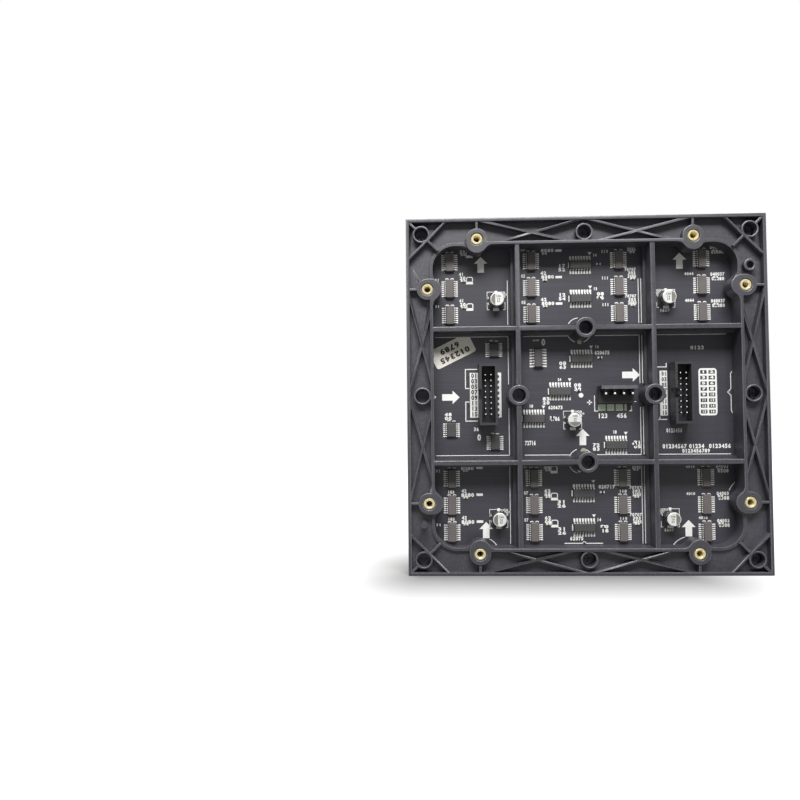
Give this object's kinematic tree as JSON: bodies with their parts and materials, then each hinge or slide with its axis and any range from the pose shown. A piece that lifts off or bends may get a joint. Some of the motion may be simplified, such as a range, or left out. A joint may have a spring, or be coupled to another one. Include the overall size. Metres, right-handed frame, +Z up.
{
  "type": "led display module",
  "caption": "Square full-colour LED matrix module with its driver board held in an open dark rear frame with threaded inserts, made to be tiled into a display.",
  "frame": {"origin": "centre of the panel on the mounting face of the rear frame", "axes": "+Y out of the rear towards the structure that carries the module, -Y out of the LED face, +Z up along the printed arrows"},
  "size_m": [0.1598, 0.017, 0.1598],
  "materials": {
    "frame_plastic": "moulded, fine grain",
    "insert_brass": "turned",
    "screw_steel": "black oxide",
    "tin": "tinned",
    "board": "solder mask, satin",
    "led": "black resin with pale cups",
    "connector_plastic": "moulded",
    "pin_gold": "plated",
    "chip_resin": "moulded epoxy",
    "can_aluminium": "drawn can",
    "chip_ceramic": "fired ceramic",
    "resistor_ceramic": "glazed ceramic",
    "label_paper": "matt sticker"
  },
  "bodies": {
    "root": {"rear_frame": "frame_plastic", "threaded_inserts": "insert_brass", "frame_screws": "screw_steel", "solder_nuts": "tin", "circuit_board": "board", "led_rows": "led", "input_header_shroud": "connector_plastic", "output_header_shroud": "connector_plastic", "input_header_pins": "pin_gold", "output_header_pins": "pin_gold", "power_header_housing": "connector_plastic", "power_header_pins": "tin", "column_driver_1": "chip_resin", "column_driver_2": "chip_resin", "column_driver_3": "chip_resin", "column_driver_4": "chip_resin", "column_driver_5": "chip_resin", "column_driver_6": "chip_resin", "column_driver_7": "chip_resin", "column_driver_8": "chip_resin", "column_driver_9": "chip_resin", "column_driver_10": "chip_resin", "column_driver_11": "chip_resin", "column_driver_12": "chip_resin", "column_driver_13": "chip_resin", "column_driver_14": "chip_resin", "column_driver_15": "chip_resin", "column_driver_16": "chip_resin", "column_driver_17": "chip_resin", "column_driver_18": "chip_resin", "column_driver_19": "chip_resin", "column_driver_20": "chip_resin", "column_driver_21": "chip_resin", "column_driver_22": "chip_resin", "column_driver_23": "chip_resin", "column_driver_24": "chip_resin", "row_driver_1": "chip_resin", "row_driver_2": "chip_resin", "row_driver_3": "chip_resin", "row_driver_4": "chip_resin", "row_driver_5": "chip_resin", "row_driver_6": "chip_resin", "row_driver_7": "chip_resin", "row_driver_8": "chip_resin", "logic_buffer_1": "chip_resin", "logic_buffer_2": "chip_resin", "logic_buffer_3": "chip_resin", "logic_gate": "chip_resin", "capacitor_1": "can_aluminium", "capacitor_2": "can_aluminium", "capacitor_3": "can_aluminium", "capacitor_4": "can_aluminium", "capacitor_5": "can_aluminium", "chip_capacitors": "chip_ceramic", "chip_resistors": "resistor_ceramic", "label": "label_paper"}
  },
  "joints": []
}
